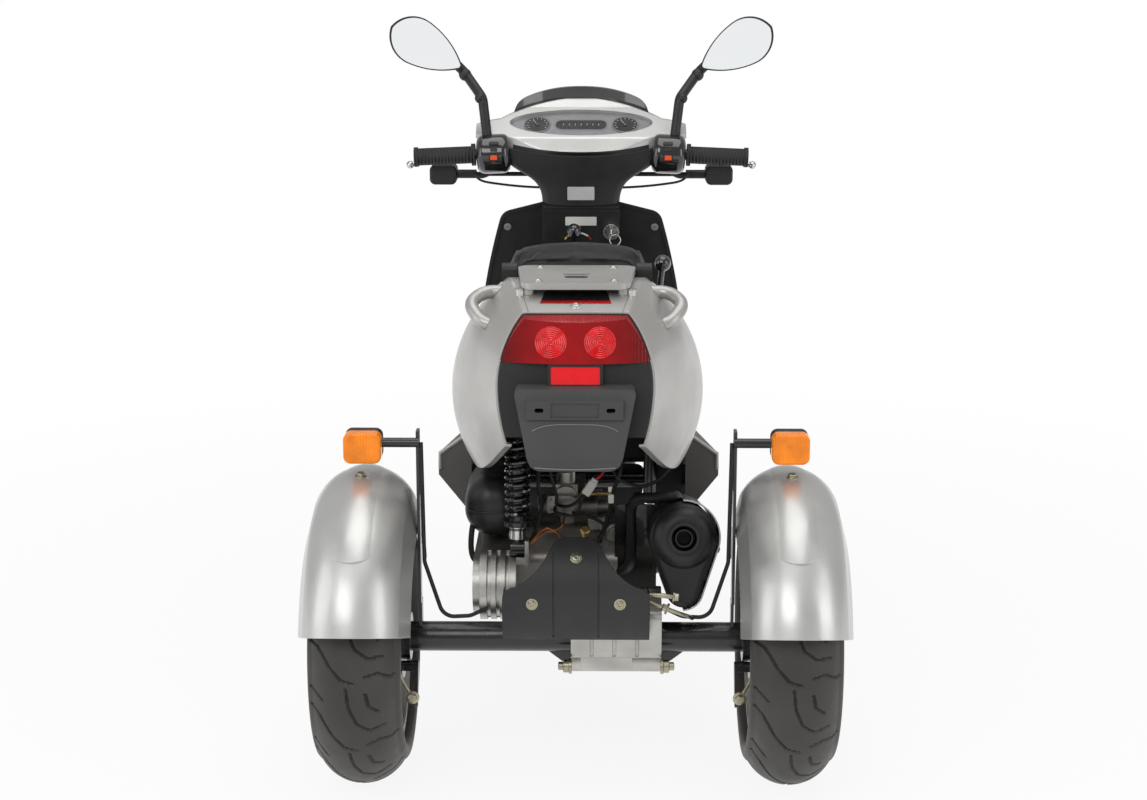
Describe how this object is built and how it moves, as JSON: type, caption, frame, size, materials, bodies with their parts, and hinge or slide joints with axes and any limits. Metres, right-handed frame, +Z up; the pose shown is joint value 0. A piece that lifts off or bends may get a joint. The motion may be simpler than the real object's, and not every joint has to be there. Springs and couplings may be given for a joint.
{
  "type": "three-wheeled motor scooter",
  "caption": "Step-through motor scooter with one steered front wheel and a rear axle beam with driven wheels under round fenders, a rear rack, a hinged seat over a bin and an engine open at the back.",
  "frame": {"origin": "on the ground, midway along the length and width", "axes": "+Y forward, +X to the rider's right, +Z up"},
  "size_m": [0.888, 1.829, 1.2342],
  "materials": {
    "silver_paint": "metallic silver paint, glossy",
    "black_plastic": "fine-grained moulded black",
    "grey_plastic": "grained moulded dark grey",
    "black_metal": "black enamel, semi-gloss",
    "cast_aluminium": "sand-cast, lightly machined",
    "bright_steel": "satin",
    "rubber": "matt black",
    "tyre": "road tread, matt",
    "red_lens": "clear red moulding",
    "amber_lens": "ribbed amber moulding",
    "clear_lens": "clear moulding",
    "smoked_screen": "smoked moulding",
    "mirror_glass": "polished",
    "seat_vinyl": "grained black vinyl"
  },
  "bodies": {
    "chassis": {"frame_spine": "black_metal", "frame_rails": "black_metal", "front_apron": "silver_paint", "inner_leg_shield": "black_plastic", "floor_board": "black_plastic", "lower_skirts": "grey_plastic", "seat_box_cover": "black_plastic", "splash_guard": "black_plastic", "side_panels": "silver_paint", "tail_panel": "silver_paint", "tail_lamp_lens": "red_lens", "tail_lamp_housing": "black_plastic", "rear_reflector": "red_lens", "plate_carrier": "grey_plastic", "rear_rack": "silver_paint", "rack_brackets": "black_plastic", "storage_bin": "black_plastic", "engine": "cast_aluminium", "belt_cover": "cast_aluminium", "air_filter_box": "black_plastic", "rear_shock_damper": "black_metal", "rear_shock_spring": "black_metal", "muffler": "black_metal", "muffler_shield": "bright_steel", "axle_beam": "black_metal", "axle_cover": "grey_plastic", "final_drive_case": "cast_aluminium", "brake_plates": "black_metal", "rear_fenders": "silver_paint", "fender_stays": "black_metal", "rear_indicator_lenses": "amber_lens", "rear_indicator_bodies": "black_plastic", "cables": "rubber", "control_levers": "black_plastic", "ignition_lock": "bright_steel"},
    "steering": {"fork": "black_metal", "front_fender": "silver_paint", "front_caliper": "cast_aluminium", "handlebar_tube": "black_metal", "handlebar_cover_lower": "black_plastic", "handlebar_cowl": "silver_paint", "instrument_panel": "smoked_screen", "flyscreen": "smoked_screen", "headlamp": "clear_lens", "grips": "rubber", "switch_housings": "black_plastic", "brake_levers": "bright_steel", "mirror_housings": "black_plastic", "mirror_glass": "mirror_glass", "front_indicators": "black_plastic"},
    "front_wheel": {"front_tyre": "tyre", "front_rim": "cast_aluminium", "front_brake_disc": "bright_steel"},
    "rear_left_wheel": {"rear_left_tyre": "tyre", "rear_left_rim": "cast_aluminium"},
    "rear_right_wheel": {"rear_right_tyre": "tyre", "rear_right_rim": "cast_aluminium"},
    "seat": {"seat_cushion": "seat_vinyl", "seat_base": "black_plastic"}
  },
  "joints": [
    {"name": "steering_turn", "type": "hinge", "parent": "chassis", "child": "steering", "pos_m": [0, 0.64799, 0.21966], "axis": [0, -0.4384, 0.8988], "range_deg": [-40, 40]},
    {"name": "front_wheel_spin", "type": "hinge", "parent": "steering", "child": "front_wheel", "pos_m": [0, 0.67945, 0.235], "axis": [-1, 0, 0], "continuous": true},
    {"name": "rear_left_wheel_spin", "type": "hinge", "parent": "chassis", "child": "rear_left_wheel", "pos_m": [-0.354, -0.64055, 0.245], "axis": [-1, 0, 0], "continuous": true},
    {"name": "rear_right_wheel_spin", "type": "hinge", "parent": "chassis", "child": "rear_right_wheel", "pos_m": [0.354, -0.64055, 0.245], "axis": [-1, 0, 0], "continuous": true},
    {"name": "seat_hinge", "type": "hinge", "parent": "chassis", "child": "seat", "pos_m": [0, -0.11655, 0.694], "axis": [-1, 0, 0], "range_deg": [0, 72]}
  ]
}
